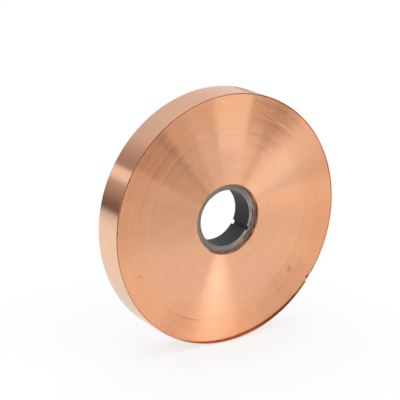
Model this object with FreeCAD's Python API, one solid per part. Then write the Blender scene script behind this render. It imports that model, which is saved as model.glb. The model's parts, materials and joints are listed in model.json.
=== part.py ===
import FreeCAD
import Part
import math
import os

# A coil of copper strip on a keyed paperboard core, standing on its rim.
# Frame: +Z is up and the coil's axis lies along Y, with the front end towards -Y.
# The origin is on the floor, under the middle of the coil. Sizes are in millimetres.
# Angles are in degrees, from +X towards +Z, so 90 is the top of the coil.

# The strip and the coil that it makes
strip_width = 45.0
strip_thickness = 0.5
coil_radius = 169.0

# The core that the strip is wound on
core_bore_radius = 38.1
core_wall = 8.4
core_length = 33.5
core_front_recess = 6.8
core_clearance = 0.1

# The keyway along the core's bore
keyway_width = 5.8
keyway_depth = 3.9
keyway_corner_radius = 1.2
keyway_angle = -30.0

# The slack outermost turn: an arc of its own, a little smaller in radius than the coil,
# whose centre has dropped below the coil's
slack_drop = 3.5
slack_radius_less = 1.5
slack_tip_angle = 319.0

# The space under the slack turn, and the flattened stretch of the coil beneath it
gap_root_angle = 245.0
gap_deepest_angle = 283.0
gap_end_angle = 324.0
flattening = 2.7

# Groups of turns on each end, from the bore outwards. Each pair is the group's width
# along the radius and how far its turns' edges lie back from the end's proudest group.
# On a bigger coil the groups come round again, and the last one runs out to the rim.
front_groups = [(19.0, 0.20), (17.5, 0.08), (20.0, 0.00), (14.5, 0.18), (6.0, 0.42),
                (12.5, 0.12), (5.5, 0.48), (10.5, 0.22), (7.0, 0.10), (6.5, 0.34)]
front_rim_setback = 0.15
back_groups = [(24.0, 0.15), (26.0, 0.00), (21.0, 0.22), (17.0, 0.08), (19.0, 0.30)]
back_rim_setback = 0.18
rim_group_least_width = 3.0
slack_setback = 0.35

# Worked out from the sizes above
winding_radius = core_bore_radius + core_wall + core_clearance
slack_radius = coil_radius - slack_radius_less
front_y = -strip_width / 2.0
back_y = strip_width / 2.0
axis_height = slack_radius + slack_drop
blank_margin = 5.0


def at(radius, angle, y=0.0, drop=0.0):
    """A point at a radius and an angle round an axis that lies drop below the coil's."""
    turn = math.radians(angle)
    return FreeCAD.Vector(radius * math.cos(turn), y, radius * math.sin(turn) - drop)


def along(centre_drop, arc_radius, angle):
    """Distance from the coil's axis to an arc about a dropped centre, at an angle."""
    turn = math.radians(angle)
    across = centre_drop * math.cos(turn)
    return math.sqrt(arc_radius ** 2 - across ** 2) - centre_drop * math.sin(turn)


def end_steps(groups, rim_setback):
    """Radius and setback pairs that walk up an end from the bore to past the rim."""
    steps = []
    radius = winding_radius
    count = 0
    width, setback = groups[0]
    while radius + width < coil_radius - rim_group_least_width:
        steps.append((radius, setback))
        radius = radius + width
        steps.append((radius, setback))
        count = count + 1
        width, setback = groups[count % len(groups)]
    steps.append((radius, rim_setback))
    steps.append((coil_radius, rim_setback))
    steps.append((coil_radius, slack_setback))
    steps.append((axis_height + blank_margin, slack_setback))
    return steps


def turned_blank():
    """The wound strip as a turned solid with its bore, and its turns stepped on both ends."""
    front = [FreeCAD.Vector(r, front_y + back, 0) for r, back in end_steps(front_groups, front_rim_setback)]
    rear = [FreeCAD.Vector(r, back_y - back, 0) for r, back in end_steps(back_groups, back_rim_setback)]
    outline = front + rear[::-1]
    profile = Part.Face(Part.makePolygon(outline + outline[:1]))
    return profile.revolve(FreeCAD.Vector(0, 0, 0), FreeCAD.Vector(0, 1, 0), 360)


def rim_outline():
    """The coil seen from the front: round, with the last turn hanging slack under it."""
    slack_inner_radius = slack_radius - strip_thickness
    # where the slack turn's outside leaves the round of the coil
    square = slack_radius ** 2 - coil_radius ** 2 - slack_drop ** 2
    lift_angle = 180.0 - math.degrees(math.asin(square / (2.0 * coil_radius * slack_drop)))

    lift = at(coil_radius, lift_angle)
    lowest = FreeCAD.Vector(0, 0, -axis_height)
    tip_outside = at(along(slack_drop, slack_radius, slack_tip_angle), slack_tip_angle)
    tip_inside = at(along(slack_drop, slack_inner_radius, slack_tip_angle), slack_tip_angle)
    gap_middle_angle = (slack_tip_angle + gap_root_angle) / 2.0
    gap_roof = at(along(slack_drop, slack_inner_radius, gap_middle_angle), gap_middle_angle)
    gap_root = at(along(slack_drop, slack_inner_radius, gap_root_angle), gap_root_angle)
    gap_floor = at(coil_radius - flattening, gap_deepest_angle)
    gap_end = at(coil_radius, gap_end_angle)
    top = at(coil_radius, 90.0)

    edges = [
        Part.Arc(lift, lowest, tip_outside).toShape(),
        Part.makeLine(tip_outside, tip_inside),
        Part.Arc(tip_inside, gap_roof, gap_root).toShape(),
        Part.Arc(gap_root, gap_floor, gap_end).toShape(),
        Part.Arc(gap_end, top, lift).toShape(),
    ]
    return Part.Wire(edges)


def copper_strip():
    """The whole strip: the turned blank, with its rim cut to the outline."""
    face = Part.Face(rim_outline())
    face.translate(FreeCAD.Vector(0, front_y - blank_margin, 0))
    prism = face.extrude(FreeCAD.Vector(0, strip_width + 2.0 * blank_margin, 0))
    # the prism is solid, so the bore comes from the turned blank
    return turned_blank().common(prism)


def keyway():
    """A cutter for the keyway, with a rounded floor, lying along the bore at +X."""
    half = keyway_width / 2.0
    floor = core_bore_radius + keyway_depth
    mouth = core_bore_radius - keyway_depth
    corner = keyway_corner_radius
    bend = corner * (1.0 - math.cos(math.radians(45.0)))
    path = [
        Part.makeLine(FreeCAD.Vector(mouth, 0, -half), FreeCAD.Vector(floor - corner, 0, -half)),
        Part.Arc(FreeCAD.Vector(floor - corner, 0, -half), FreeCAD.Vector(floor - bend, 0, -half + bend),
                 FreeCAD.Vector(floor, 0, -half + corner)).toShape(),
        Part.makeLine(FreeCAD.Vector(floor, 0, -half + corner), FreeCAD.Vector(floor, 0, half - corner)),
        Part.Arc(FreeCAD.Vector(floor, 0, half - corner), FreeCAD.Vector(floor - bend, 0, half - bend),
                 FreeCAD.Vector(floor - corner, 0, half)).toShape(),
        Part.makeLine(FreeCAD.Vector(floor - corner, 0, half), FreeCAD.Vector(mouth, 0, half)),
        Part.makeLine(FreeCAD.Vector(mouth, 0, half), FreeCAD.Vector(mouth, 0, -half)),
    ]
    face = Part.Face(Part.Wire(path))
    return face.extrude(FreeCAD.Vector(0, core_length, 0))


def core_tube():
    """The paperboard tube inside the coil, set back from both ends, with its keyway."""
    along_y = FreeCAD.Vector(0, 1, 0)
    start = FreeCAD.Vector(0, 0, 0)
    outside = Part.makeCylinder(core_bore_radius + core_wall, core_length, start, along_y)
    bore = Part.makeCylinder(core_bore_radius, core_length, start, along_y)
    slot = keyway()
    slot.rotate(start, along_y, -keyway_angle)
    tube = outside.cut(bore).cut(slot)
    tube.translate(FreeCAD.Vector(0, front_y + core_front_recess, 0))
    return tube


def write(shape, node):
    """Stand a piece on the floor and save it under its node's name."""
    shape.translate(FreeCAD.Vector(0, 0, axis_height))
    shape.exportStep("parts/" + node + ".step")
    box = shape.BoundBox
    print(node, "solids", len(shape.Solids), "valid", shape.isValid(),
          "volume cm3 %.2f" % (shape.Volume / 1000.0),
          "x %.2f %.2f y %.2f %.2f z %.2f %.2f" % (box.XMin, box.XMax, box.YMin, box.YMax, box.ZMin, box.ZMax))


os.makedirs("parts", exist_ok=True)
write(copper_strip(), "copper_strip")
write(core_tube(), "core_tube")
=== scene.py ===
"""A coil of bare copper strip on its keyed paperboard core, with a pale studio round it."""

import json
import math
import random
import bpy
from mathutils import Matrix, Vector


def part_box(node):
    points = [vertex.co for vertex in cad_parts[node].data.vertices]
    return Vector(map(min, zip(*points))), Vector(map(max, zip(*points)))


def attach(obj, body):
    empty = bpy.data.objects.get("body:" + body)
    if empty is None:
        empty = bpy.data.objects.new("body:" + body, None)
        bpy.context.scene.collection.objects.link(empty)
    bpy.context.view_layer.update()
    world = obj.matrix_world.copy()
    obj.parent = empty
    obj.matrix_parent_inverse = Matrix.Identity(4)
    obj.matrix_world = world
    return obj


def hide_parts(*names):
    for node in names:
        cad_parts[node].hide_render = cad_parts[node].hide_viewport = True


bl_info = {
    "name": "Copper Strip Coil",
    "version": (1, 0, 0),
    "blender": (4, 5, 0),
    "location": "3D View > Sidebar > Strip Coil",
    "description": "Winds a coil of copper strip on its paperboard core and sets it in a small studio",
    "category": "Object",
}

import bmesh
import bpy
from bpy.props import FloatProperty, FloatVectorProperty, IntProperty, PointerProperty
from mathutils import Color, Matrix, Vector, noise

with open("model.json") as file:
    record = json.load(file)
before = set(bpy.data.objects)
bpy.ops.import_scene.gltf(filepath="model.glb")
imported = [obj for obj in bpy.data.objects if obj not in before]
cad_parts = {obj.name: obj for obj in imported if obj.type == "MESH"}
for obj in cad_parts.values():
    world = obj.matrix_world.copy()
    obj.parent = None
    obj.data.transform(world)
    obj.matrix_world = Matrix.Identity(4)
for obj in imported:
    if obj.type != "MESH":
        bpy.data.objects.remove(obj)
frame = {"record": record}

MM = 0.001
BODY = "root"
STRIP_NODE = "copper_strip"
CORE_NODE = "core_tube"

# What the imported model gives: the coil's box, the core's box and the bore's mount. The winding
# starts a clearance outside the core.
strip_low, strip_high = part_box(STRIP_NODE)
core_low, core_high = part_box(CORE_NODE)
core_bore = next(m for m in frame["record"]["mounts"] if m["name"] == "core_bore")
AXIS = Vector((0.0, 0.0, core_bore["pos_m"][2]))
COIL_RADIUS = strip_high.x
FRONT_Y = strip_low.y
BACK_Y = strip_high.y
CORE_RADIUS = core_high.x
CORE_BORE_RADIUS = core_bore["dims"]["r_mm"] * MM
CORE_CLEARANCE = 0.1 * MM
WINDING_RADIUS = CORE_RADIUS + CORE_CLEARANCE

# The slack last turn, at the same sizes as its solid. The coil's body gets thinner by a turn where
# the slack one leaves it. All angles run from +X towards +Z, in degrees, so 90 is the coil's top.
SLACK_DROP = 3.5 * MM
SLACK_RADIUS = COIL_RADIUS - 1.5 * MM
SLACK_SETBACK = 0.35 * MM
SLACK_START_ANGLE = 205.4
SLACK_TIP_ANGLE = 319.0
SLACK_STEPS = 72
THINNING_ANGLE = 206.0
THINNING_SWEEP = 6.0

# The gap under the slack turn. As the photo shows, it is up to 0.55 mm deeper than in the solid,
# and deepest a little further round. Its faces lie within its reach inside the coil's radius, and
# the margin keeps the slack turn's outside out of it.
GAP_ROOT_ANGLE = 245.0
GAP_DEEPEST_ANGLE = 289.0
GAP_END_ANGLE = 325.0
FLATTENING = 3.3 * MM
GAP_REACH = 4.0 * MM
GAP_MARGIN = 0.1 * MM

# Groups of turns on each end, from the bore out: width along the radius and setback, in mm, as in
# the solid. The strip wanders sideways over several turns, so one group slopes into the next, and
# only a share of each setback is drawn, because the photo's rings are faint.
FRONT_GROUPS = ((19.0, 0.20), (17.5, 0.08), (20.0, 0.00), (14.5, 0.18), (6.0, 0.42),
                (12.5, 0.12), (5.5, 0.48), (10.5, 0.22), (7.0, 0.10), (6.5, 0.34), (9.0, 0.15))
BACK_GROUPS = ((24.0, 0.15), (26.0, 0.00), (21.0, 0.22), (17.0, 0.08), (19.0, 0.30), (20.0, 0.18))
GROUP_SLOPE = 4.0 * MM
GROUP_SHARE = 0.45

# The first turns by the core lie deep. Then the rings of single turns start, and stop short of the
# rim. The margin tells a ring from its neighbours.
FIRST_TURNS_WIDTH = 0.8 * MM
FIRST_TURNS_DEPTH = 1.3 * MM
RINGS_START = 1.0 * MM
RINGS_STOP = 1.2 * MM
RING_MARGIN = 0.05 * MM
RING_SETBACK = 0.06 * MM

# The rim: a turn that lies deep just inside the last one, and that one's rounded edge, as distances
# inside the coil's radius and back from its end, in mm
RIM_STEPS = ((1.12, 0.15), (1.06, 1.50), (0.56, 1.50), (0.50, 0.16), (0.42, 0.04), (0.14, 0.02),
             (0.04, 0.10), (0.0, 0.25), (0.0, 0.60))

# Turns that lie out of line for part of their round on the front end: the mark's radius where it
# starts and where it stops, the angles between, and how far the turn lies back, in mm and degrees
FRONT_MARKS = (
    (158.0, 158.3, 208.0, 238.0, 0.22),
    (153.0, 153.4, 354.0, 372.0, 0.16),
    (141.8, 142.2, 36.0, 58.0, 0.30),
    (141.8, 139.5, 192.0, 236.0, 0.26),
    (139.5, 135.8, 232.0, 270.0, 0.34),
    (123.7, 123.2, 252.0, 276.0, 0.18),
    (117.5, 117.0, 268.0, 312.0, 0.16),
    (102.5, 101.0, 242.0, 280.0, 0.16),
    (144.0, 144.6, 332.0, 358.0, 0.20),
    (163.0, 163.3, 84.0, 106.0, 0.18),
    (145.0, 147.0, 84.0, 100.0, 0.22),
    (137.0, 146.0, 40.0, 68.0, 0.30),
    (155.0, 154.0, 168.0, 206.0, 0.18),
    (149.0, 148.0, 162.0, 228.0, 0.16),
    (160.0, 158.6, 186.0, 236.0, 0.16),
)

# A mark's half width, and how many of its fades fit into its length
MARK_WIDTH = 0.9 * MM
MARK_FADE = 4.0

# Faint marks on both ends, drawn at random: how many, the radii where they lie, how far a mark
# drifts in or out, how long it is and how deep at most, in mm and degrees
FAINT_MARKS = 70
FAINT_RADII = (92.0, 166.0)
FAINT_DRIFT = 1.5
FAINT_LENGTHS = (10.0, 50.0)
FAINT_DEPTH = 0.03

# Every turn's edge wanders a little: radii between which it wanders more and more, the width over
# which the wander changes, and its scale on a circle of radius 1. The rim's flattening is felt from
# a radius further in, and grows towards the rim.
UNEVEN_RADII = (95.0 * MM, 140.0 * MM)
WANDER_WIDTH = 0.7 * MM
WANDER_SCALE = 1.2
FLATTENED_FROM = 120.0 * MM

# The core: wound from plies of board with a groove between them, and keyed along its bore. It has a
# step for each degree, and the keyway takes up these steps to each side of its middle.
PLIES = 14
PLY_SHARE = 0.86
PLY_LEVELS = 0.16 * MM
CORE_EDGE = 0.3 * MM
CORE_STEPS = 360
KEYWAY_WIDTH = 5.8 * MM
KEYWAY_DEPTH = 3.9 * MM
KEYWAY_CORNER = 1.2 * MM
KEYWAY_ANGLE = -30.0
KEYWAY_COLUMNS = 4

# The core's frayed ends: clumps of fibre, and finer ones that follow the plies
FRAY_CLUMP = 1.6 * MM
FRAY_DEPTH = 0.12 * MM
PLY_FRAY_LENGTH = 6.0 * MM
PLY_FRAY_WIDTH = 0.5 * MM
PLY_FRAY_DEPTH = 0.10 * MM

# The split between two plies at the front. It wanders in and out with one layer of the noise, fades
# at both its angles, and lifts what lies outside it.
SPLIT_RADIUS = 43.7 * MM
SPLIT_WIDTH = 0.9 * MM
SPLIT_DEPTH = 2.5 * MM
SPLIT_FROM = -48.0
SPLIT_TO = 5.0
SPLIT_FADE = 8.0
SPLIT_WANDER = 0.35 * MM
SPLIT_WANDER_LENGTH = 5.0 * MM
SPLIT_NOISE_LAYER = 3.0
SPLIT_LIFT = 0.15 * MM

# Material slots: a piece's ends, its sides and, on the strip, the gap's faces. Then how far along Y
# a face looks to count as an end, and the angles from which the pieces' edges are sharp.
ENDS, SIDES, GAP = 0, 1, 2
END_FACES = 0.5
STRIP_SHARP = 25.0
CORE_SHARP = 40.0


def linear(hex_colour):
    """An sRGB hex colour as linear red, green, blue and alpha."""
    parts = [int(hex_colour[i:i + 2], 16) / 255.0 for i in (1, 3, 5)]
    return tuple(p / 12.92 if p <= 0.04045 else ((p + 0.055) / 1.055) ** 2.4 for p in parts) + (1.0,)


def around(radius, angle, y=0.0):
    """A point on a circle round the coil's axis."""
    turn = math.radians(angle)
    return Vector((radius * math.cos(turn), y, AXIS.z + radius * math.sin(turn)))


def slack_reach(arc_radius, angle):
    """Distance from the coil's axis to an arc about the slack turn's dropped centre."""
    turn = math.radians(angle)
    across = SLACK_DROP * math.cos(turn)
    return math.sqrt(arc_radius ** 2 - across ** 2) - SLACK_DROP * math.sin(turn)


def smooth_step(low, high, value):
    """0 below low, 1 above high and a smooth climb between."""
    t = min(max((value - low) / (high - low), 0.0), 1.0)
    return t * t * (3.0 - 2.0 * t)


# Small stains and specks on the front end, and last a spot of painted shade where the strip's cut
# end stands off the coil: place, size, colour and strength. Each is ragged: it is full within the
# first share of its size and gone past the second.
SPOTS = (
    (around(0.1319, 319.0, FRONT_Y), 4.4 * MM, "#BC7A36", 0.55),
    (around(0.1365, 317.6, FRONT_Y), 2.8 * MM, "#BC7A36", 0.45),
    (around(0.1442, 201.6, FRONT_Y), 1.4 * MM, "#7A4A32", 0.8),
    (around(0.1671, 176.1, FRONT_Y), 1.7 * MM, "#6A4632", 0.8),
    # painted shade at the strip's cut end, where it stands off the coil
    (around(0.1674, 321.2, FRONT_Y), 3.4 * MM, "#5A2412", 0.9),
)
SPOT_FULL = 0.2
SPOT_GONE = 0.55
SPOT_RAGGED = 1.5 * MM

# Dark rings of painted shade: in the recess by the core, in the groove inside the rim, and along the
# slack turn's edge. Each has its radius, half width, the side on which the shade is darker, and its
# strength away from that side and on it
SHADE_RINGS = (
    (0.0472, 1.2 * MM, (0.8, 0.0, -0.6), 0.6, 0.9),
    (0.1678, 0.8 * MM, (0.0, 0.0, 1.0), 0.1, 0.75),
    (0.1703, 1.1 * MM, (0.87, 0.0, 0.5), 0.0, 0.6),
)

# The painted shade lies in patches: their scale on a circle of radius 1, the pattern's values between
# which they fade, and the least share of shade between them. Then how widely a ring's two sides
# blend, and the share of its half width over which it is full.
SHADE_PATCHES = 3.0
SHADE_PATCH_FADE = (0.35, 0.55)
SHADE_LEAST = 0.35
SHADE_SIDE_BLEND = 0.3
SHADE_FULL = 0.3

# Slit edges: radii between which the copper reddens, radii between which the slope of a turn's
# edge grows, that slope at both, and the mean slope, which leans outwards. Streaks vary the
# roughness of the edges and of the rolled face.
REDDER_RADII = (0.100, 0.150)
LEAN_RADII = (0.080, 0.150)
LEAN_INNER = 0.12
LEAN_OUTER = 0.40
LEAN_MEAN = 0.05
EDGE_ROUGHNESS = (0.10, 0.16)
RIM_ROUGHNESS = (0.14, 0.20)

# Patterns, at sizes in the metal and the board. A streak's size is its width and its length, as an
# angle in radians. Streaks on the ends are about three turns wide, because single turns are finer
# than the picture shows, and the board's fibre clumps are drawn as coarse.
TARNISH_CLOUD = 40.0 * MM
TARNISH_CONTRAST = 1.6
TURN_STREAK = (1.5 * MM, 0.35)
ROLLING_LENGTH = 90.0 * MM
ROLLING_WIDTH = 0.8 * MM
OIL_MOTTLE = 10.0 * MM
FIBRE_CLUMP = 1.2 * MM
PLY_STREAK = (0.6 * MM, 0.5)
TORN_STREAK = (0.9 * MM, 0.25)

# The gap's faces are painted darker brown towards the right, as painted shade, between these X parts of a
# place's direction from the axis
GAP_SHADE_SIDE = (0.1, 0.6)

# The board's light and dark, by the sum of its fibres and plies, and the torn side: its direction,
# how much a place lies that way where tearing starts and is full, and the fade of its patches
BOARD_SHADES = (0.75, 1.25)
TORN_SIDE = (0.97, 0.0, -0.26)
TORN_SPREAD = (0.3, 0.9)
TORN_PATCH_FADE = (0.4, 0.62)

# The floor's edges, and the painted light and shade by place that the copper mirrors on it: tones far
# in front and near the coil, a lighter one in front at the right, and a share of them at the far left
TABLE_LEFT = -1.38
TABLE_RIGHT = 3.0
TABLE_FRONT = -0.55
TABLE_BACK = 4.0
FLOOR_FAR_TONE = 0.70
FLOOR_NEAR_TONE = 0.99
FLOOR_NEAR_Y = -0.15
FLOOR_RIGHT_TONE = 1.09
FLOOR_RIGHT_X = (0.25, 0.55)
FLOOR_RIGHT_Y = (-0.25, -0.40)
FLOOR_LEFT_SHARE = 0.62
FLOOR_LEFT_X = 0.4 * TABLE_LEFT

# Where the floor's warmer and greener light begin, and how much light comes through the paper
FLOOR_WARMER_X = (0.1, 0.35)
FLOOR_GREENER_Y = (0.0, 0.06)
FLOOR_LIT_THROUGH = 0.75

# A pool of light under the coil
POOL_PLACE = (-0.02, 0.0, 0.0)
POOL_RADIUS = 0.15
POOL_TONE = 0.4

# A beam of light that runs forward over the floor and grows brighter: where it starts, is full and
# ends along its way, how far from the coil's middle it passes, and its full middle and its edge
BEAM_ALONG = (0.631, -0.776, 0.0)
BEAM_ACROSS = (0.776, 0.631, 0.0)
BEAM_START = 0.0
BEAM_FULL = 0.20
BEAM_END = 0.25
BEAM_FADE = 0.01
BEAM_PLACE = -43.0 * MM
BEAM_MIDDLE = 3.6 * MM
BEAM_EDGE = 28.8 * MM
BEAM_TONE = 0.98
BEAM_FIRST_TONE = 0.098

# The photo's view, as directions from the coil's axis, and the camera: how far it stands off, and to
# the right of and above that line, in metres, and its lens and sensor in mm
CAMERA_AZIMUTH = -32.85
CAMERA_ELEVATION = 17.52
CAMERA_DISTANCE = 2.371
CAMERA_RIGHT = -24.5 * MM
CAMERA_UP = 19.9 * MM
CAMERA_LENS = 162.0
SENSOR_WIDTH = 36.0

# The light tent that the copper mirrors. In front, its panels are wedges that stand round the
# direction that the front end mirrors: each has a name, the angles between which it stands, the
# softness of its sides, the warmth of its light beyond what dimness gives, and its brightness from
# the middle outwards, up to each width of opening, where it fades into the next.
WEDGE_OPENINGS = (0.12, 0.22, 0.35, 0.62)
FRONT_WEDGES = (
    ("right_panel", 338.0, 386.0, 3.0, 0.0, (0.9, 0.88, 0.86, 0.76, 0.92)),
    ("upper_right_panel", 23.0, 54.0, 5.0, 0.0, (1.22, 1.22, 1.35, 0.82, 0.98)),
    ("right_shoulder", 44.0, 54.0, 2.5, 0.0, (1.22, 1.22, 0.95, 0.25, 0.3)),
    ("right_shoulder_edge", 47.5, 54.0, 0.8, 0.1, (1.22, 1.22, 0.6, 0.0, 0.0)),
    ("right_gap", 52.0, 62.0, 0.7, 0.19, (0.72, 1.1, 0.08, 0.0, 0.0)),
    ("right_gap_middle", 61.0, 70.0, 1.5, 0.07, (0.74, 1.65, 0.32, 0.0, 0.0)),
    ("right_gap_edge", 69.0, 76.0, 1.5, 0.0, (0.72, 1.75, 0.45, 0.12, 0.1)),
    ("softbox", 74.5, 96.0, 1.2, 0.0, (0.58, 1.6, 1.3, 1.2, 1.2)),
    ("softbox_side", 96.0, 111.0, 0.5, 0.0, (0.78, 1.17, 0.72, 0.68, 0.95)),
    ("softbox_far_side", 111.0, 127.0, 0.5, 0.0, (0.67, 0.83, 0.37, 0.72, 0.95)),
    ("left_gap", 127.5, 147.0, 0.5, 0.07, (0.66, 0.64, 0.22, 0.12, 0.45)),
    ("seam_side", 124.4, 127.5, 0.8, 0.1, (0.62, 0.55, 0.15, 0.25, 0.35)),
    ("panel_seam", 125.9, 129.8, 0.3, 0.15, (0.62, 0.32, 0.0, 0.0, 0.0)),
    ("left_panel_edge", 147.0, 160.0, 1.0, 0.0, (0.58, 0.99, 0.63, 0.47, 0.75)),
    ("left_panel", 160.0, 190.0, 4.0, 0.0, (0.65, 0.77, 0.62, 0.68, 0.85)),
)
FRONT_REST = (0.42, 0.36, 0.36, 0.36, 0.45)
OPENING_FADE = 0.012

# Behind, its panels are long strips that run along the coil's axis, so one set of angles round
# that axis gives them: an angle, from +X towards +Z, and the brightness and the warmth there.
BACK_STRIPS = (
    (0.0, 0.85, 0.05), (35.0, 0.79, 0.10), (60.0, 0.71, 0.05), (90.0, 0.66, 0.01),
    (108.0, 0.66, 0.02), (116.0, 0.69, 0.13), (128.0, 0.54, 0.18), (134.0, 0.45, 0.19),
    (144.0, 0.38, 0.22), (147.0, 0.42, 0.20), (149.0, 0.98, 0.02), (157.5, 0.98, 0.06),
    (160.5, 0.60, 0.17), (166.0, 0.48, 0.25), (171.0, 0.41, 0.27), (176.0, 0.32, 0.28),
    (183.0, 0.15, 0.39), (190.0, 0.12, 0.43),
)

# Where the tent's back takes over from its front, and its top from both, by direction. The copper
# throws its own light into dim places, which warms them, and bright panels are a little cool. Warmth
# takes less from the green than from the blue.
BACK_FROM = (-0.05, 0.15)
TOP_FROM = (0.68, 0.78)
TOP_GLOW = 1.65
TENT_BRIGHTEST = 4.0
DIM_WARMTH = 0.33
COOLEST = -0.3
GREEN_LOSS = 0.7

# Settings and values that many nodes share
SMOOTH = {"interpolation_type": "SMOOTHSTEP"}
COLOURS = {"data_type": "RGBA"}
ACROSS_AXIS = (1.0, 0.0, 1.0)
WHITE = (1.0, 1.0, 1.0, 1.0)


# Sizes and colours that a user would change

class StripCoilSizes(bpy.types.PropertyGroup):
    """Sizes of the winding and its core."""

    thickness: FloatProperty(
        name="Strip Thickness", description="Thickness of the strip, and so the pitch of its turns",
        default=0.5 * MM, min=0.1 * MM, unit="LENGTH")
    segments: IntProperty(
        name="Segments", description="Steps round the coil", default=192, min=48)
    back_pitch: FloatProperty(
        name="Back Pitch", description="Spacing of the rings on the end that faces away",
        default=1.0 * MM, min=0.2 * MM, unit="LENGTH")
    inner_unevenness: FloatProperty(
        name="Inner Unevenness", description="How far the edges of the inner turns lie out of line",
        default=0.004 * MM, min=0.0, unit="LENGTH")
    outer_unevenness: FloatProperty(
        name="Outer Unevenness", description="How far the edges of the outer turns lie out of line",
        default=0.010 * MM, min=0.0, unit="LENGTH")
    seed: IntProperty(name="Seed", description="Seed of the uneven winding", default=7)


class StripCoilColours(bpy.types.PropertyGroup):
    """Colours of the finishes."""

    copper: FloatVectorProperty(
        name="Copper", description="Reflection colour of clean bare copper",
        default=linear("#F3BA96")[:3], size=3, min=0.0, max=1.0, subtype="COLOR")
    tarnished: FloatVectorProperty(
        name="Tarnished Copper", description="Copper where it has begun to dull",
        default=linear("#EDB28E")[:3], size=3, min=0.0, max=1.0, subtype="COLOR")
    rolled: FloatVectorProperty(
        name="Rolled Face", description="Copper of the rolled face under its film of oil",
        default=linear("#F3C2A2")[:3], size=3, min=0.0, max=1.0, subtype="COLOR")
    redder: FloatVectorProperty(
        name="Outer Tint", description="Tint over the outer turns, which have reddened more",
        default=(1.0, 0.93, 0.86), size=3, min=0.0, max=1.0, subtype="COLOR")
    gap: FloatVectorProperty(
        name="Gap Face", description="Duller copper in the gap under the slack turn",
        default=linear("#FFC08A")[:3], size=3, min=0.0, max=1.0, subtype="COLOR")
    # Painted shade: the darker brown of the gap's faces towards the right, near the strip's end
    gap_shade: FloatVectorProperty(
        name="Browned Gap Face", description="Copper in the gap that has browned near the strip's end",
        default=linear("#B4673C")[:3], size=3, min=0.0, max=1.0, subtype="COLOR")
    # Painted shade: the colour of the dark rings in the recess by the core, the groove by the rim and along
    # the slack turn's edge
    ring_shade: FloatVectorProperty(
        name="Dirt", description="Dirt that has settled between turns",
        default=linear("#5E3624")[:3], size=3, min=0.0, max=1.0, subtype="COLOR")
    board: FloatVectorProperty(
        name="Board", description="Grey of the paperboard tube's cut ends",
        default=linear("#ABA6A1")[:3], size=3, min=0.0, max=1.0, subtype="COLOR")
    board_dark: FloatVectorProperty(
        name="Dark Board", description="Grey between the board's fibres",
        default=linear("#6A6866")[:3], size=3, min=0.0, max=1.0, subtype="COLOR")
    inner_ply: FloatVectorProperty(
        name="Inner Ply", description="Dark grey of the ply that lines the bore",
        default=linear("#262A28")[:3], size=3, min=0.0, max=1.0, subtype="COLOR")
    scuffed_ply: FloatVectorProperty(
        name="Scuffed Ply", description="The bore's ply where arbors have rubbed it",
        default=linear("#4A4F4B")[:3], size=3, min=0.0, max=1.0, subtype="COLOR")
    torn_board: FloatVectorProperty(
        name="Torn Board", description="Pale fibres where the board is torn",
        default=linear("#BDB4A6")[:3], size=3, min=0.0, max=1.0, subtype="COLOR")
    floor: FloatVectorProperty(
        name="Floor", description="Pale floor and backdrop",
        default=linear("#F5F7FA")[:3], size=3, min=0.0, max=1.0, subtype="COLOR")
    floor_behind: FloatVectorProperty(
        name="Floor, Behind", description="Pale floor behind the coil, where a greener light falls on it",
        default=linear("#EFF8F6")[:3], size=3, min=0.0, max=1.0, subtype="COLOR")
    floor_right: FloatVectorProperty(
        name="Floor, Right", description="Pale floor to the right, where a warmer light falls on it",
        default=linear("#F6F0EB")[:3], size=3, min=0.0, max=1.0, subtype="COLOR")


# Materials

def new_material(name):
    """An empty node material and its tree."""
    material = bpy.data.materials.new(name)
    material.use_nodes = True
    material.node_tree.nodes.clear()
    return material, material.node_tree


def add_node(tree, kind, settings=None, inputs=None):
    """Add a node with its settings, or a math node with its operation, and its inputs.

    Each input is a value, the socket that feeds it, or a node whose result feeds it. A colour
    from the scene's settings is given full alpha.
    """
    node = tree.nodes.new(kind)
    if isinstance(settings, str):
        settings = {"operation": settings}
    for key, value in (settings or {}).items():
        setattr(node, key, value)
    for key, value in (inputs or {}).items():
        if isinstance(value, bpy.types.Node):
            value = next(socket for socket in value.outputs if socket.enabled)
        if isinstance(value, bpy.types.NodeSocket):
            tree.links.new(value, node.inputs[key])
        else:
            node.inputs[key].default_value = (*value, 1.0) if isinstance(value, Color) else value
    return node


def span(value, low, high, start=0.0, end=1.0):
    """Inputs that take a Map Range node from start to end while its value goes from low to high."""
    return {"Value": value, "From Min": low, "From Max": high, "To Min": start, "To Max": end}


def blend(share, first, second):
    """Inputs that take a colour Mix node from its first colour to its second."""
    return {0: share, 6: first, 7: second}


def polar_place(tree):
    """A point's outward direction from the coil's axis, and its radius."""
    coordinates = add_node(tree, "ShaderNodeTexCoord")
    place = add_node(tree, "ShaderNodeVectorMath", "SUBTRACT", {0: coordinates.outputs["Object"], 1: AXIS})
    flat = add_node(tree, "ShaderNodeVectorMath", "MULTIPLY", {0: place, 1: ACROSS_AXIS})
    outward = add_node(tree, "ShaderNodeVectorMath", "NORMALIZE", {0: flat})
    radius = add_node(tree, "ShaderNodeVectorMath", "LENGTH", {0: flat})
    return outward, radius


def clumps(tree, size, detail=2.0, roughness=0.5):
    """Uneven clumps of a real size, which lie still in the piece."""
    coordinates = add_node(tree, "ShaderNodeTexCoord")
    return add_node(tree, "ShaderNodeTexNoise", inputs={
        "Vector": coordinates.outputs["Object"], "Scale": 1.0 / size,
        "Detail": detail, "Roughness": roughness})


def turn_streaks(tree, outward, radius, width, length):
    """Streaks that follow the turns: fine across the radius, and long round the coil."""
    across = add_node(tree, "ShaderNodeMath", "DIVIDE", {0: radius, 1: width})
    round_it = add_node(tree, "ShaderNodeVectorMath", "SCALE", {0: outward, "Scale": 1.0 / length})
    lift = add_node(tree, "ShaderNodeCombineXYZ", inputs={"Y": across})
    where = add_node(tree, "ShaderNodeVectorMath", "ADD", {0: round_it, 1: lift})
    return add_node(tree, "ShaderNodeTexNoise", inputs={"Vector": where, "Scale": 1.0, "Detail": 2.0})


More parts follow.
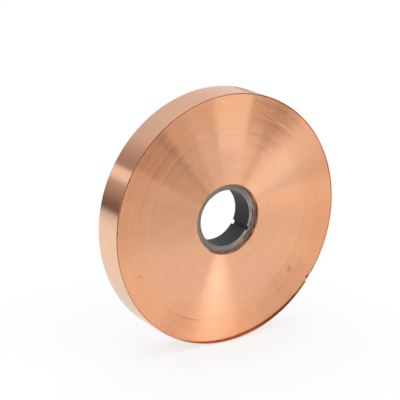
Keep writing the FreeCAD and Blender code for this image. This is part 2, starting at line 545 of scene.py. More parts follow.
def near_line(tree, value, line, full, gone):
    """1 where a value lies within full of a line, and a smooth fall to 0 at gone."""
    apart = add_node(tree, "ShaderNodeMath", "SUBTRACT", {0: value, 1: line})
    away = add_node(tree, "ShaderNodeMath", "ABSOLUTE", {0: apart})
    return add_node(tree, "ShaderNodeMapRange", SMOOTH, span(away, full, gone, 1.0, 0.0))


def leaning_normal(tree, outward, radius, pitch):
    """A normal that swings from inward to outward over each turn, whose edge is a tiny half round."""
    turns = add_node(tree, "ShaderNodeMath", "DIVIDE", {0: radius, 1: pitch})
    phase = add_node(tree, "ShaderNodeMath", "FRACT", {0: turns})
    swing = add_node(tree, "ShaderNodeMapRange", inputs=span(phase, 0.0, 1.0, -1.0, 1.0))
    spread = add_node(tree, "ShaderNodeMapRange", SMOOTH, span(radius, *LEAN_RADII, LEAN_INNER, LEAN_OUTER))
    lean = add_node(tree, "ShaderNodeMath", "MULTIPLY_ADD", {0: swing, 1: spread, 2: LEAN_MEAN})
    tilt = add_node(tree, "ShaderNodeVectorMath", "SCALE", {0: outward, "Scale": lean})
    surface = add_node(tree, "ShaderNodeNewGeometry")
    leaning = add_node(tree, "ShaderNodeVectorMath", "ADD", {0: surface.outputs["Normal"], 1: tilt})
    return add_node(tree, "ShaderNodeVectorMath", "NORMALIZE", {0: leaning})


def spotted(tree, colour):
    """A colour with the ragged stains and specks on it, and a spot of painted shade at the strip's cut end.
    """
    coordinates = add_node(tree, "ShaderNodeTexCoord")
    wobble = clumps(tree, SPOT_RAGGED)
    for spot, size, tint, strength in SPOTS:
        way = add_node(tree, "ShaderNodeVectorMath", "DISTANCE",
                       {0: coordinates.outputs["Object"], 1: spot})
        ragged = add_node(tree, "ShaderNodeMath", "MULTIPLY", {0: way, 1: wobble})
        share = add_node(tree, "ShaderNodeMapRange", SMOOTH,
                         span(ragged, SPOT_FULL * size, SPOT_GONE * size, strength, 0.0))
        colour = add_node(tree, "ShaderNodeMix", COLOURS, blend(share, colour, linear(tint)))
    return colour


def ring_shaded(tree, outward, radius, colour, ring_shade):
    """A colour with patchy rings of painted shade over it."""
    patches = add_node(tree, "ShaderNodeTexNoise", inputs={
        "Vector": outward, "Scale": SHADE_PATCHES, "Detail": 3.0})
    patchy = add_node(tree, "ShaderNodeMapRange", inputs=span(patches, *SHADE_PATCH_FADE, SHADE_LEAST, 1.0))
    for ring, half_width, side, away_strength, strength in SHADE_RINGS:
        towards = add_node(tree, "ShaderNodeVectorMath", "DOT_PRODUCT", {0: outward, 1: side})
        thick = add_node(tree, "ShaderNodeMapRange",
                         inputs=span(towards, -SHADE_SIDE_BLEND, SHADE_SIDE_BLEND, away_strength, strength))
        shaded = add_node(tree, "ShaderNodeMath", "MULTIPLY", {0: patchy, 1: thick})
        near = near_line(tree, radius, ring, SHADE_FULL * half_width, half_width)
        share = add_node(tree, "ShaderNodeMath", "MULTIPLY", {0: near, 1: shaded})
        colour = add_node(tree, "ShaderNodeMix", COLOURS, blend(share, colour, ring_shade))
    return colour


def slit_edges_material(colours, pitch):
    """Bare copper, slit and wound: the edges of the turns make a finely grooved end.

    The grooves run round the coil, so the gloss is drawn out along the radius into bright and
    dark wedges. The turns show as faint streaks, and a stain and a few specks lie on them, with a
    spot of painted shade at the strip's cut end and rings of painted shade in the recess by the
    core, the groove by the rim and along the slack turn's edge.
    """
    material, tree = new_material("bare_copper_slit_edges")
    outward, radius = polar_place(tree)

    # tarnish: broad faint clouds, and streaks along the turns, with the outer turns a little redder
    clouds = clumps(tree, TARNISH_CLOUD)
    streaks = turn_streaks(tree, outward, radius, *TURN_STREAK)
    contrast = add_node(tree, "ShaderNodeMath", "MULTIPLY_ADD",
                        {0: streaks, 1: TARNISH_CONTRAST, 2: -0.5 * TARNISH_CONTRAST})
    dull = add_node(tree, "ShaderNodeMath", {"operation": "ADD", "use_clamp": True},
                    {0: contrast, 1: clouds})
    colour = add_node(tree, "ShaderNodeMix", COLOURS, blend(dull, colours.copper, colours.tarnished))
    outer = add_node(tree, "ShaderNodeMapRange", SMOOTH, span(radius, *REDDER_RADII))
    colour = add_node(tree, "ShaderNodeMix", {**COLOURS, "blend_type": "MULTIPLY"},
                      blend(outer, colour, colours.redder))
    # stains and specks, a spot of painted shade at the strip's cut end, and patchy rings of painted shade
    colour = ring_shaded(tree, outward, radius, spotted(tree, colour), colours.ring_shade)

    roughness = add_node(tree, "ShaderNodeMapRange", inputs=span(streaks, 0.0, 1.0, *EDGE_ROUGHNESS))
    shader = add_node(tree, "ShaderNodeBsdfPrincipled", inputs={
        "Base Color": colour, "Metallic": 1.0, "Roughness": roughness, "Anisotropic": 1.0,
        "Tangent": outward, "Normal": leaning_normal(tree, outward, radius, pitch)})
    add_node(tree, "ShaderNodeOutputMaterial", inputs={"Surface": shader})
    return material


def rolled_face_material(colours):
    """Bare rolled copper: a smooth bright face with faint rolling lines along the strip.

    A film of rolling oil pales it where it is seen at a low angle.
    """
    material, tree = new_material("bare_copper_rolled_face")
    along = add_node(tree, "ShaderNodeUVMap", {"uv_map": "along_strip"})
    stretched = add_node(tree, "ShaderNodeMapping", inputs={
        "Vector": along, "Scale": (1.0 / ROLLING_LENGTH, 1.0 / ROLLING_WIDTH, 1.0)})
    lines = add_node(tree, "ShaderNodeTexNoise", inputs={"Vector": stretched, "Scale": 1.0, "Detail": 3.0})
    colour = add_node(tree, "ShaderNodeMix", COLOURS, blend(lines, colours.rolled, colours.copper))
    roughness = add_node(tree, "ShaderNodeMapRange", inputs=span(lines, 0.0, 1.0, *RIM_ROUGHNESS))
    tangent = add_node(tree, "ShaderNodeTangent", {"direction_type": "UV_MAP", "uv_map": "along_strip"})
    shader = add_node(tree, "ShaderNodeBsdfPrincipled", inputs={
        "Base Color": colour, "Metallic": 1.0, "Roughness": roughness, "Anisotropic": 0.8,
        "Anisotropic Rotation": 0.25, "Tangent": tangent, "Coat Weight": 0.5, "Coat Roughness": 0.12})
    add_node(tree, "ShaderNodeOutputMaterial", inputs={"Surface": shader})
    return material


def gap_face_material(colours):
    """Copper in the gap under the slack turn, matt under a film of dried oil.

    The film is most of what shows, and it is no metal, so only a fifth of the copper's own mirror
    comes through. It is painted darker brown towards the right, near the strip's end: painted shade,
    where less light reaches the gap.
    """
    material, tree = new_material("bare_copper_dull_face")
    outward, _ = polar_place(tree)
    colour = add_node(tree, "ShaderNodeMix", COLOURS,
                      blend(clumps(tree, OIL_MOTTLE, 3.0), colours.gap, colours.copper))
    sideways = add_node(tree, "ShaderNodeSeparateXYZ", inputs={0: outward})
    # painted shade: the gap's faces darken towards the right
    gap_shade = add_node(tree, "ShaderNodeMapRange", SMOOTH, span(sideways.outputs["X"], *GAP_SHADE_SIDE))
    colour = add_node(tree, "ShaderNodeMix", COLOURS, blend(gap_shade, colour, colours.gap_shade))
    shader = add_node(tree, "ShaderNodeBsdfPrincipled", inputs={
        "Base Color": colour, "Metallic": 0.2, "Roughness": 0.6})
    add_node(tree, "ShaderNodeOutputMaterial", inputs={"Surface": shader})
    return material


def cut_board_material(colours):
    """Cut and scuffed end of a wound paperboard tube: grey fibres, its plies as faint rings."""
    material, tree = new_material("paperboard_cut_end")
    outward, radius = polar_place(tree)
    fibres = clumps(tree, FIBRE_CLUMP, 4.0, 0.7)
    plies = turn_streaks(tree, outward, radius, *PLY_STREAK)
    mottle = add_node(tree, "ShaderNodeMath", "ADD", {0: fibres, 1: plies})
    shade = add_node(tree, "ShaderNodeMapRange", inputs=span(mottle, *BOARD_SHADES))
    board = add_node(tree, "ShaderNodeMix", COLOURS, blend(shade, colours.board_dark, colours.board))

    # torn fibres show paler towards the coil's right, where the plies have split
    right = add_node(tree, "ShaderNodeVectorMath", "DOT_PRODUCT", {0: outward, 1: TORN_SIDE})
    torn = add_node(tree, "ShaderNodeMapRange", SMOOTH, span(right, *TORN_SPREAD))
    streaks = turn_streaks(tree, outward, radius, *TORN_STREAK)
    patchy = add_node(tree, "ShaderNodeMapRange", inputs=span(streaks, *TORN_PATCH_FADE))
    share = add_node(tree, "ShaderNodeMath", "MULTIPLY", {0: torn, 1: patchy})
    colour = add_node(tree, "ShaderNodeMix", COLOURS, blend(share, board, colours.torn_board))
    bump = add_node(tree, "ShaderNodeBump",
                    inputs={"Height": mottle, "Distance": 0.15 * MM, "Strength": 0.7})
    shader = add_node(tree, "ShaderNodeBsdfPrincipled", inputs={
        "Base Color": colour, "Roughness": 0.85, "Specular IOR Level": 0.3, "Normal": bump})
    add_node(tree, "ShaderNodeOutputMaterial", inputs={"Surface": shader})
    return material


def board_bore_material(colours):
    """Inner ply of a paperboard tube: dark grey calendered board, slightly glossy from arbors."""
    material, tree = new_material("paperboard_inner_ply")
    fibres = clumps(tree, 2.0 * FIBRE_CLUMP, 4.0)
    colour = add_node(tree, "ShaderNodeMix", COLOURS, blend(fibres, colours.inner_ply, colours.scuffed_ply))
    roughness = add_node(tree, "ShaderNodeMapRange", inputs=span(fibres, 0.0, 1.0, 0.5, 0.7))
    bump = add_node(tree, "ShaderNodeBump",
                    inputs={"Height": fibres, "Distance": 0.1 * MM, "Strength": 0.5})
    shader = add_node(tree, "ShaderNodeBsdfPrincipled", inputs={
        "Base Color": colour, "Roughness": roughness, "Specular IOR Level": 0.3, "Normal": bump})
    add_node(tree, "ShaderNodeOutputMaterial", inputs={"Surface": shader})
    return material


def floor_light(tree, place):
    """The pool of light under the coil and the beam that runs forward over the floor."""
    way = add_node(tree, "ShaderNodeVectorMath", "DISTANCE", {0: place, 1: POOL_PLACE})
    pool = add_node(tree, "ShaderNodeMapRange", SMOOTH, span(way, 0.0, POOL_RADIUS, POOL_TONE, 0.0))
    across = add_node(tree, "ShaderNodeVectorMath", "DOT_PRODUCT", {0: place, 1: BEAM_ACROSS})
    narrow = near_line(tree, across, BEAM_PLACE, BEAM_MIDDLE, BEAM_EDGE)
    along = add_node(tree, "ShaderNodeVectorMath", "DOT_PRODUCT", {0: place, 1: BEAM_ALONG})
    begun = add_node(tree, "ShaderNodeMapRange",
                     inputs=span(along, BEAM_START - BEAM_FADE, BEAM_START + BEAM_FADE))
    ended = add_node(tree, "ShaderNodeMapRange",
                     inputs=span(along, BEAM_END + 2.0 * BEAM_FADE, BEAM_END - 2.0 * BEAM_FADE))
    length = add_node(tree, "ShaderNodeMath", "MULTIPLY", {0: begun, 1: ended})
    growing = add_node(tree, "ShaderNodeMapRange",
                       inputs=span(along, BEAM_START, BEAM_FULL, BEAM_FIRST_TONE, BEAM_TONE))
    bright = add_node(tree, "ShaderNodeMath", "MULTIPLY", {0: length, 1: growing})
    beam = add_node(tree, "ShaderNodeMath", "MULTIPLY", {0: narrow, 1: bright})
    return add_node(tree, "ShaderNodeMath", "ADD", {0: pool, 1: beam})


def floor_tone(tree, place, sideways, back):
    """How bright the floor is painted at a place: painted light and shade far and near, right and left, and
    its painted pool and beam of light.
    """
    near = add_node(tree, "ShaderNodeMapRange", SMOOTH,
                    span(back, TABLE_FRONT, FLOOR_NEAR_Y, FLOOR_FAR_TONE, FLOOR_NEAR_TONE))
    right = add_node(tree, "ShaderNodeMapRange", SMOOTH, span(sideways, *FLOOR_RIGHT_X))
    in_front = add_node(tree, "ShaderNodeMapRange", SMOOTH, span(back, *FLOOR_RIGHT_Y))
    lit = add_node(tree, "ShaderNodeMath", "MULTIPLY", {0: right, 1: in_front})
    tone = add_node(tree, "ShaderNodeMapRange", inputs=span(lit, 0.0, 1.0, near, FLOOR_RIGHT_TONE))
    left = add_node(tree, "ShaderNodeMapRange",
                    inputs=span(sideways, TABLE_LEFT, FLOOR_LEFT_X, FLOOR_LEFT_SHARE, 1.0))
    return add_node(tree, "ShaderNodeMath", "MULTIPLY_ADD", {0: tone, 1: left, 2: floor_light(tree, place)})


def floor_material(colours):
    """Matt pale paper floor, lit through from below, so that it shows only a faint shadow.

    The camera sees the plain paper, glowing white in a share as painted light. The copper mirrors it
    with painted light and shade by place, a little warmer to the right and a little greener behind
    the coil.
    """
    material, tree = new_material("pale_floor")
    place = add_node(tree, "ShaderNodeTexCoord").outputs["Object"]
    parts = add_node(tree, "ShaderNodeSeparateXYZ", inputs={0: place})
    sideways, back = parts.outputs["X"], parts.outputs["Y"]
    tone = floor_tone(tree, place, sideways, back)
    warmer = add_node(tree, "ShaderNodeMapRange", inputs=span(sideways, *FLOOR_WARMER_X))
    paper = add_node(tree, "ShaderNodeMix", COLOURS, blend(warmer, colours.floor, colours.floor_right))
    greener = add_node(tree, "ShaderNodeMapRange", inputs=span(back, *FLOOR_GREENER_Y))
    paper = add_node(tree, "ShaderNodeMix", COLOURS, blend(greener, paper, colours.floor_behind))
    # the copper sees the paper with its painted light and shade by place
    mirrored = add_node(tree, "ShaderNodeVectorMath", "SCALE", {0: paper, "Scale": tone})
    seen = add_node(tree, "ShaderNodeLightPath").outputs["Is Camera Ray"]
    colour = add_node(tree, "ShaderNodeMix", COLOURS, blend(seen, mirrored, colours.floor))
    shader = add_node(tree, "ShaderNodeBsdfPrincipled", inputs={
        "Base Color": colour, "Roughness": 0.9, "Specular IOR Level": 0.1})
    # painted light: for the camera the paper glows white, so its shadow fades
    glowing = add_node(tree, "ShaderNodeEmission", inputs={"Color": WHITE})
    lit_through = add_node(tree, "ShaderNodeMath", "MULTIPLY", {0: seen, 1: FLOOR_LIT_THROUGH})
    both = add_node(tree, "ShaderNodeMixShader", inputs={0: lit_through, 1: shader, 2: glowing})
    add_node(tree, "ShaderNodeOutputMaterial", inputs={"Surface": both})
    return material


# The winding

def turn_profile(outline, steps):
    """A closed outline of radius and Y pairs, turned a full round about the Y axis."""
    bm = bmesh.new()
    points = [bm.verts.new((radius, y, 0.0)) for radius, y in outline]
    edges = [bm.edges.new(pair) for pair in zip(points, points[1:] + points[:1])]
    bmesh.ops.spin(bm, geom=points + edges, cent=(0.0, 0.0, 0.0), axis=(0.0, 1.0, 0.0),
                   angle=2.0 * math.pi, steps=steps, use_merge=True)
    bmesh.ops.recalc_face_normals(bm, faces=bm.faces)
    return bm


def group_setback(groups, radius):
    """How far the turns at a radius lie back, sloping from each group into the next."""
    edge = WINDING_RADIUS
    setback = groups[0][1]
    slope = GROUP_SLOPE / 2.0
    for (width, here), (_, beyond) in zip(groups, groups[1:]):
        edge += width * MM
        setback += (beyond - here) * smooth_step(edge - slope, edge + slope, radius)
    return setback * GROUP_SHARE * MM


def end_profile(groups, pitch):
    """Radius and depth pairs across an end: the first turns lie deeper, and then a ring a turn."""
    points = [(WINDING_RADIUS, FIRST_TURNS_DEPTH), (WINDING_RADIUS + FIRST_TURNS_WIDTH, FIRST_TURNS_DEPTH)]
    radius = WINDING_RADIUS + RINGS_START
    while radius < COIL_RADIUS - RINGS_STOP:
        points.append((radius, group_setback(groups, radius) + RING_SETBACK))
        radius += pitch
    return points + [(COIL_RADIUS - inside * MM, depth * MM) for inside, depth in RIM_STEPS]


def marks_by_radius(marks):
    """Sort marks into millimetres of radius, so that a ring only asks the ones that are near."""
    near = {}
    for mark in marks:
        low, high = sorted(mark[:2])
        # a mark is felt about two millimetres to each side
        for place in range(int(low) - 2, int(high) + 3):
            near.setdefault(place, []).append(mark)
    return near


def mark_depth(near, radius, angle):
    """How far marks push a turn back at a radius and an angle."""
    depth = 0.0
    for start_radius, end_radius, start, end, deep in near.get(int(radius / MM), ()):
        share = ((angle - start) % 360.0) / (end - start)
        if share < 1.0:
            middle = (start_radius + (end_radius - start_radius) * share) * MM
            fade = min(1.0, MARK_FADE * share, MARK_FADE * (1.0 - share))
            depth += deep * MM * fade * math.exp(-(((radius - middle) / MARK_WIDTH) ** 2))
    return depth


def faint_marks(draw):
    """Short faint marks all over the outer half of an end."""
    marks = []
    for _ in range(FAINT_MARKS):
        radius, start = draw.uniform(*FAINT_RADII), draw.uniform(0.0, 360.0)
        marks.append((radius, radius + draw.uniform(-FAINT_DRIFT, FAINT_DRIFT),
                      start, start + draw.uniform(*FAINT_LENGTHS), draw.uniform(-FAINT_DEPTH, FAINT_DEPTH)))
    return marks


def circle_through(a, b, c):
    """Centre and radius of the circle through three points in the XZ plane."""
    ab, ac = b - a, c - a
    cross = 2.0 * (ab.x * ac.z - ab.z * ac.x)
    x = (ac.z * ab.length_squared - ab.z * ac.length_squared) / cross
    z = (ab.x * ac.length_squared - ac.x * ab.length_squared) / cross
    offset = Vector((x, 0.0, z))
    return a + offset, offset.length


def body_rim(angle, thickness):
    """The wound body's outer radius at an angle, swollen and then flattened under the slack turn."""
    angle = angle % 360.0
    inner = SLACK_RADIUS - thickness
    if angle < THINNING_ANGLE or angle > GAP_END_ANGLE:
        return COIL_RADIUS
    if angle < GAP_ROOT_ANGLE:
        thinned = smooth_step(THINNING_ANGLE, THINNING_ANGLE + THINNING_SWEEP, angle)
        return max(slack_reach(inner, angle), COIL_RADIUS - thickness * thinned)
    root = around(slack_reach(inner, GAP_ROOT_ANGLE), GAP_ROOT_ANGLE) - AXIS
    floor = around(COIL_RADIUS - FLATTENING, GAP_DEEPEST_ANGLE) - AXIS
    end = around(COIL_RADIUS, GAP_END_ANGLE) - AXIS
    centre, radius = circle_through(root, floor, end)
    turn = math.radians(angle)
    way = Vector((math.cos(turn), 0.0, math.sin(turn)))
    along = way.dot(centre)
    return along + math.sqrt(along ** 2 - centre.length_squared + radius ** 2)


def wind_coil(sizes):
    """The coil's body as one turned mesh, its turns then laid unevenly and its rim pushed to shape."""
    draw = random.Random(sizes.seed)
    front = [(r, FRONT_Y + d) for r, d in end_profile(FRONT_GROUPS, sizes.thickness)]
    back = [(r, BACK_Y - d) for r, d in end_profile(BACK_GROUPS, sizes.back_pitch)]
    bm = turn_profile(front + back[::-1], sizes.segments)

    front_near = marks_by_radius(FRONT_MARKS + tuple(faint_marks(draw)))
    back_near = marks_by_radius(faint_marks(draw))
    first_ring = WINDING_RADIUS + RINGS_START - RING_MARGIN
    last_ring = COIL_RADIUS - RINGS_STOP + RING_MARGIN
    for vert in bm.verts:
        radius = math.hypot(vert.co.x, vert.co.z)
        angle = math.degrees(math.atan2(vert.co.z, vert.co.x))
        if first_ring < radius < last_ring:
            side = -1.0 if vert.co.y < 0.0 else 1.0
            share = smooth_step(*UNEVEN_RADII, radius)
            uneven = sizes.inner_unevenness + share * (sizes.outer_unevenness - sizes.inner_unevenness)
            wander = noise.noise((WANDER_SCALE * vert.co.x / radius, WANDER_SCALE * vert.co.z / radius,
                                  side * radius / WANDER_WIDTH))
            near = front_near if side < 0.0 else back_near
            vert.co.y -= side * (uneven * wander + mark_depth(near, radius, angle))
        share = smooth_step(FLATTENED_FROM, COIL_RADIUS - sizes.thickness, radius)
        pushed = radius + share * (body_rim(angle, sizes.thickness) - COIL_RADIUS)
        vert.co.x *= pushed / radius
        vert.co.z *= pushed / radius
    bmesh.ops.translate(bm, verts=bm.verts, vec=AXIS)
    return bm


def hang_slack_turn(bm, sizes):
    """Add the last turn where it hangs clear of the coil, down to its cut end."""
    inner = SLACK_RADIUS - sizes.thickness
    centre = AXIS - Vector((0.0, 0.0, SLACK_DROP))
    front, back = FRONT_Y + SLACK_SETBACK, BACK_Y - SLACK_SETBACK
    corners = [(inner, front), (SLACK_RADIUS, front), (SLACK_RADIUS, back), (inner, back)]

    # angles about the dropped centre that give the wanted angles about the coil's axis
    def own_angle(angle):
        point = around(slack_reach(SLACK_RADIUS, angle), angle) - centre
        return math.atan2(point.z, point.x)

    start = own_angle(SLACK_START_ANGLE)
    sweep = (own_angle(SLACK_TIP_ANGLE) - start) % (2.0 * math.pi)
    way = Vector((math.cos(start), 0.0, math.sin(start)))
    verts = [bm.verts.new(centre + way * r + Vector((0.0, y, 0.0))) for r, y in corners]
    face = bm.faces.new(verts)
    # a turn from +X towards +Z goes round -Y
    bmesh.ops.spin(bm, geom=[face] + list(face.edges) + verts, cent=centre, axis=(0.0, -1.0, 0.0),
                   angle=sweep, steps=SLACK_STEPS, use_merge=False)


def in_gap(place, angle):
    """Whether a rolled face looks into the gap under the slack turn."""
    reach = math.hypot(place.x, place.z)
    return (GAP_ROOT_ANGLE < angle < GAP_END_ANGLE
            and COIL_RADIUS - GAP_REACH < reach < slack_reach(SLACK_RADIUS, angle) - GAP_MARGIN)


def shade(bm, sharp_angle):
    """Smooth a piece between its sharp edges, and give its ends and its sides their slots."""
    bm.normal_update()
    for face in bm.faces:
        face.smooth = True
        face.material_index = ENDS if abs(face.normal.y) > END_FACES else SIDES
    for edge in bm.edges:
        edge.smooth = edge.calc_face_angle(0.0) < math.radians(sharp_angle)


def lay_strip_map(bm):
    """Give the gap's faces their slot, and lay a map in metres along and across the strip."""
    layer = bm.loops.layers.uv.new("along_strip")
    for face in bm.faces:
        middle = face.calc_center_median() - AXIS
        here = math.atan2(middle.z, middle.x)
        if face.material_index == SIDES and in_gap(middle, math.degrees(here) % 360.0):
            face.material_index = GAP
        for loop in face.loops:
            place = loop.vert.co - AXIS
            turn = math.atan2(place.z, place.x)
            turn += 2.0 * math.pi * round((here - turn) / (2.0 * math.pi))
            across = math.hypot(place.x, place.z) if face.material_index == ENDS else place.y
            loop[layer].uv = (turn * COIL_RADIUS, across)


def to_object(bm, name, materials):
    """Turn a finished bmesh into an object at the origin."""
    mesh = bpy.data.meshes.new(name)
    bm.to_mesh(mesh)
    bm.free()
    for material in materials:
        mesh.materials.append(material)
    piece = bpy.data.objects.new(name, mesh)
    bpy.context.scene.collection.objects.link(piece)
    return piece


# The core

def keyed_place(column, share):
    """Where a point of the core lies near its keyway: along and across the keyway's own direction.

    Columns count the degrees from the keyway's middle; the last one is its edge. The share runs
    from 0 at the bore, or on the keyway's floor, to 1 on the core's outside.
    """
    half, corner = KEYWAY_WIDTH / 2.0, KEYWAY_CORNER
    floor = CORE_BORE_RADIUS + KEYWAY_DEPTH
    side = math.copysign(1.0, column)
    if abs(column) == KEYWAY_COLUMNS:
        inside = Vector((math.sqrt(CORE_BORE_RADIUS ** 2 - half ** 2), half * side))
    elif column == 0:
        inside = Vector((floor, 0.0))
    else:
        # the corner's quarter round has a column at its start, its middle and its end
        bend = math.radians(45.0 * (KEYWAY_COLUMNS - 1 - abs(column)))
        inside = Vector((floor - corner + corner * math.sin(bend),
                         side * (half - corner + corner * math.cos(bend))))
    outside = Vector((CORE_RADIUS, 0.0))
    outside.rotate(Matrix.Rotation(math.radians(column), 2))
    return inside.lerp(outside, share)


def torn_depth(place, radius, angle):
    """How far along Y a point of the core's ends is moved by the fray and by the split ply."""
    front = place.y < 0.0
    fray = FRAY_DEPTH * noise.noise(Vector(place) / FRAY_CLUMP)
    fray += PLY_FRAY_DEPTH * noise.noise((place.x / PLY_FRAY_LENGTH, place.z / PLY_FRAY_LENGTH,
                                          radius / PLY_FRAY_WIDTH))
    if front:
        split = min(smooth_step(SPLIT_FROM - SPLIT_FADE, SPLIT_FROM + SPLIT_FADE, angle),
                    1.0 - smooth_step(SPLIT_TO - SPLIT_FADE, SPLIT_TO + SPLIT_FADE, angle))
        middle = SPLIT_RADIUS + SPLIT_WANDER * noise.noise((
            place.x / SPLIT_WANDER_LENGTH, SPLIT_NOISE_LAYER, place.z / SPLIT_WANDER_LENGTH))
        if abs(radius - middle) < SPLIT_WIDTH / 2.0:
            fray += split * SPLIT_DEPTH
        elif radius > middle:
            fray -= split * SPLIT_LIFT
    return fray if front else -fray


def form_core(sizes):
    """The core tube as a turned mesh with stepped plies, then keyed and torn."""
    draw = random.Random(sizes.seed + 1)
    wall = CORE_RADIUS - CORE_BORE_RADIUS
    ply = wall / PLIES
    front, back = [], []
    for k in range(PLIES):
        front_y = core_low.y + draw.uniform(0.0, PLY_LEVELS)
        back_y = core_high.y - draw.uniform(0.0, PLY_LEVELS)
        inside, outside = CORE_BORE_RADIUS + k * ply, CORE_BORE_RADIUS + (k + PLY_SHARE) * ply
        front += [(inside, front_y), (outside, front_y)]
        back += [(inside, back_y), (outside, back_y)]
    front.append((CORE_RADIUS, core_low.y + CORE_EDGE))
    back.append((CORE_RADIUS, core_high.y - CORE_EDGE))

    bm = turn_profile(front + back[::-1], CORE_STEPS)
    for vert in bm.verts:
        radius = math.hypot(vert.co.x, vert.co.z)
        from_key = (math.degrees(math.atan2(vert.co.z, vert.co.x)) + 180.0) % 360.0 - 180.0
        vert.co.y += torn_depth(vert.co, radius, from_key + KEYWAY_ANGLE)
        column = round(from_key)
        if abs(column) <= KEYWAY_COLUMNS:
            place = keyed_place(column, (radius - CORE_BORE_RADIUS) / wall)
            vert.co.x, vert.co.z = place.x, place.y
    # the keyway was worked out at +X, and lies lower
    bmesh.ops.rotate(bm, verts=bm.verts, cent=(0.0, 0.0, 0.0),
                     matrix=Matrix.Rotation(math.radians(-KEYWAY_ANGLE), 3, "Y"))
    bmesh.ops.translate(bm, verts=bm.verts, vec=AXIS)
    return bm


# The studio

def towards_camera():
    """The direction from the coil to the photo's camera."""
    azimuth, elevation = math.radians(CAMERA_AZIMUTH), math.radians(CAMERA_ELEVATION)
    return Vector((math.sin(azimuth) * math.cos(elevation), -math.cos(azimuth) * math.cos(elevation),
                   math.sin(elevation)))


def glow_ramp(tree, where, stops):
    """Light along a line, from its stops: a place from 0 to 1, a brightness and a warmth.

    Warmth is the share of the blue that is missing, and more than half as much of the green.
    """
    ramp = add_node(tree, "ShaderNodeValToRGB", inputs={"Fac": where})
    for place, _, _ in stops[1:-1]:
        ramp.color_ramp.elements.new(place)
    for element, (place, glow, warmth) in zip(ramp.color_ramp.elements, stops):
        element.position = place
        warmed = (glow, glow * (1.0 - GREEN_LOSS * warmth), glow * (1.0 - warmth))
        element.color = (*(part / TENT_BRIGHTEST for part in warmed), 1.0)
    return ramp


def wedge_stops(glows, warmth=0.0):
    """Stops for a wedge: a brightness up to each width of opening, with a soft step between."""
    stops = [(0.0, glows[0])]
    for opening, inside, outside in zip(WEDGE_OPENINGS, glows, glows[1:]):
        stops += [(opening - OPENING_FADE, inside), (opening + OPENING_FADE, outside)]
    stops.append((1.0, glows[-1]))
    return [(place, glow, warmth + DIM_WARMTH * max(COOLEST, 1.0 - glow)) for place, glow in stops]


def turn_round_axis(tree, parts):
    """A direction's angle round the coil's axis, in radians from +X towards +Z."""
    return add_node(tree, "ShaderNodeMath", "ARCTAN2", {0: parts.outputs["Z"], 1: parts.outputs["X"]})


def front_wedges(tree, way):
    """The front of the tent, in angle and opening about the direction that the end mirrors."""
    half_way = add_node(tree, "ShaderNodeVectorMath", "ADD", {0: way, 1: towards_camera()})
    parts = add_node(tree, "ShaderNodeSeparateXYZ", inputs={0: half_way})
    degrees = add_node(tree, "ShaderNodeMath", "DEGREES", {0: turn_round_axis(tree, parts)})
    flat = add_node(tree, "ShaderNodeVectorMath", "MULTIPLY", {0: half_way, 1: ACROSS_AXIS})
    across = add_node(tree, "ShaderNodeVectorMath", "LENGTH", {0: flat})
    deep = add_node(tree, "ShaderNodeMath", "ABSOLUTE", {0: parts.outputs["Y"]})
    opening = add_node(tree, "ShaderNodeMath", {"operation": "DIVIDE", "use_clamp": True},
                       {0: across, 1: deep})
    glow = glow_ramp(tree, opening, wedge_stops(FRONT_REST))
    for name, start, end, soft, warmth, glows in FRONT_WEDGES:
        # angles are counted from just before the wedge, so that one may run on past 360
        from_start = add_node(tree, "ShaderNodeMath", "SUBTRACT", {0: degrees, 1: start - 2.0 * soft})
        angle = add_node(tree, "ShaderNodeMath", "FLOORED_MODULO", {0: from_start, 1: 360.0})
        enter = add_node(tree, "ShaderNodeMapRange", inputs=span(angle, soft, 3.0 * soft))
        leave = add_node(tree, "ShaderNodeMapRange",
                         inputs=span(angle, end - start + soft, end - start + 3.0 * soft, 1.0, 0.0))
        inside = add_node(tree, "ShaderNodeMath", "MULTIPLY", {0: enter, 1: leave})
        wedge = glow_ramp(tree, opening, wedge_stops(glows, warmth))
        glow = add_node(tree, "ShaderNodeMix", {**COLOURS, "label": name}, blend(inside, glow, wedge))
    return glow


def paint_tent(scene):
    """The light tent round the coil, and a pale backdrop for the camera."""
    world = bpy.data.worlds.new("studio")
    world.use_nodes = True
    tree = world.node_tree
    tree.nodes.clear()
    way = add_node(tree, "ShaderNodeTexCoord").outputs["Generated"]
    parts = add_node(tree, "ShaderNodeSeparateXYZ", inputs={0: way})
    front = front_wedges(tree, way)

    # the angle as a share of a full round, from 0 to 1
    round_it = add_node(tree, "ShaderNodeMath", "MULTIPLY_ADD",
                        {0: turn_round_axis(tree, parts), 1: 0.5 / math.pi, 2: 1.0})
    share = add_node(tree, "ShaderNodeMath", "FRACT", {0: round_it})
    back = glow_ramp(tree, share, [(angle / 360.0, glow, warmth) for angle, glow, warmth in BACK_STRIPS])

    behind = add_node(tree, "ShaderNodeMapRange", inputs=span(parts.outputs["Y"], *BACK_FROM))
    sides = add_node(tree, "ShaderNodeMix", COLOURS, blend(behind, front, back))
    above = add_node(tree, "ShaderNodeMapRange", inputs=span(parts.outputs["Z"], *TOP_FROM))
    top = TOP_GLOW / TENT_BRIGHTEST
    glow = add_node(tree, "ShaderNodeMix", COLOURS, blend(above, sides, (top, top, top, 1.0)))
    room = add_node(tree, "ShaderNodeBackground", inputs={"Color": glow, "Strength": TENT_BRIGHTEST})
    pale = add_node(tree, "ShaderNodeBackground", inputs={"Color": WHITE})
    rays = add_node(tree, "ShaderNodeLightPath")
    both = add_node(tree, "ShaderNodeMixShader",
                    inputs={0: rays.outputs["Is Camera Ray"], 1: room, 2: pale})
    add_node(tree, "ShaderNodeOutputWorld", inputs={"Surface": both})
    scene.world = world


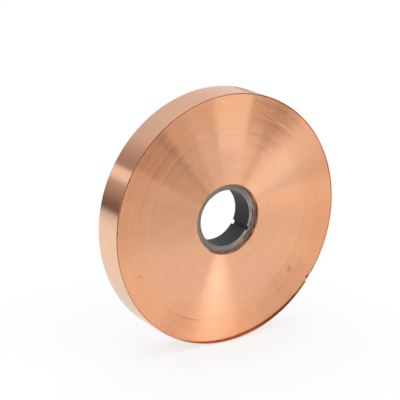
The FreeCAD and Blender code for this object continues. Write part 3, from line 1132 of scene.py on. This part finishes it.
def place_camera():
    """The photo's view: from the front left and a little above, through a long lens."""
    back = towards_camera()
    right = Vector((0.0, 0.0, 1.0)).cross(back).normalized()
    up = back.cross(right)
    data = bpy.data.cameras.new("camera")
    data.lens = CAMERA_LENS
    data.sensor_width = SENSOR_WIDTH
    camera = bpy.data.objects.new("camera", data)
    bpy.context.scene.collection.objects.link(camera)
    place = AXIS + back * CAMERA_DISTANCE + right * CAMERA_RIGHT + up * CAMERA_UP
    turn = Matrix((right, up, back)).transposed().to_4x4()
    camera.matrix_world = Matrix.Translation(place) @ turn
    bpy.context.scene.camera = camera


# Operators, the panel and the run

class STRIPCOIL_OT_wind_strip(bpy.types.Operator):
    """Wind the copper strip into its coil, with the last turn hanging slack"""

    bl_idname = "stripcoil.wind_strip"
    bl_label = "Wind Strip"

    def execute(self, context):
        sizes = context.scene.strip_coil_sizes
        colours = context.scene.strip_coil_colours
        bm = wind_coil(sizes)
        hang_slack_turn(bm, sizes)
        shade(bm, STRIP_SHARP)
        lay_strip_map(bm)
        piece = to_object(bm, "copper_strip_coil", [
            slit_edges_material(colours, sizes.thickness), rolled_face_material(colours),
            gap_face_material(colours)])
        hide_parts(STRIP_NODE)
        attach(piece, BODY)
        return {"FINISHED"}


class STRIPCOIL_OT_form_core(bpy.types.Operator):
    """Form the paperboard core with its plies, its keyway and its torn front edge"""

    bl_idname = "stripcoil.form_core"
    bl_label = "Form Core"

    def execute(self, context):
        colours = context.scene.strip_coil_colours
        bm = form_core(context.scene.strip_coil_sizes)
        shade(bm, CORE_SHARP)
        piece = to_object(bm, "paperboard_core", [
            cut_board_material(colours), board_bore_material(colours)])
        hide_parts(CORE_NODE)
        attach(piece, BODY)
        return {"FINISHED"}


class STRIPCOIL_OT_set_stage(bpy.types.Operator):
    """Lay the floor, paint the light tent and place the camera"""

    bl_idname = "stripcoil.set_stage"
    bl_label = "Set Stage"

    def execute(self, context):
        bm = bmesh.new()
        bmesh.ops.create_grid(bm, x_segments=1, y_segments=1, size=0.5)
        bmesh.ops.scale(bm, verts=bm.verts, vec=(TABLE_RIGHT - TABLE_LEFT, TABLE_BACK - TABLE_FRONT, 1.0))
        middle = Vector((TABLE_LEFT + TABLE_RIGHT, TABLE_FRONT + TABLE_BACK, 0.0)) / 2.0
        bmesh.ops.translate(bm, verts=bm.verts, vec=middle)
        floor = to_object(bm, "floor", [floor_material(context.scene.strip_coil_colours)])

        paint_tent(context.scene)
        context.scene.view_settings.view_transform = "Standard"
        place_camera()
        return {"FINISHED"}


class STRIPCOIL_PT_panel(bpy.types.Panel):
    """Sizes, colours and steps of the coil"""

    bl_label = "Strip Coil"
    bl_idname = "STRIPCOIL_PT_panel"
    bl_space_type = "VIEW_3D"
    bl_region_type = "UI"
    bl_category = "Strip Coil"

    def draw(self, context):
        layout = self.layout
        for group in (context.scene.strip_coil_sizes, context.scene.strip_coil_colours):
            box = layout.box()
            for name in group.bl_rna.properties.keys():
                if name not in ("rna_type", "name"):
                    box.prop(group, name)
        for operator in OPERATORS:
            layout.operator(operator.bl_idname)


OPERATORS = (STRIPCOIL_OT_wind_strip, STRIPCOIL_OT_form_core, STRIPCOIL_OT_set_stage)
CLASSES = (StripCoilSizes, StripCoilColours, *OPERATORS, STRIPCOIL_PT_panel)


def register():
    """Register the classes, and hang the settings on the scene."""
    for cls in CLASSES:
        bpy.utils.register_class(cls)
    bpy.types.Scene.strip_coil_sizes = PointerProperty(type=StripCoilSizes)
    bpy.types.Scene.strip_coil_colours = PointerProperty(type=StripCoilColours)


def unregister():
    """Take away what register adds."""
    del bpy.types.Scene.strip_coil_colours
    del bpy.types.Scene.strip_coil_sizes
    for cls in reversed(CLASSES):
        bpy.utils.unregister_class(cls)


def main():
    """Make the pieces and the stage in order."""
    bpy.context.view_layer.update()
    register()
    bpy.ops.stripcoil.wind_strip()
    bpy.ops.stripcoil.form_core()
    bpy.ops.stripcoil.set_stage()


if __name__ == "__main__":
    main()
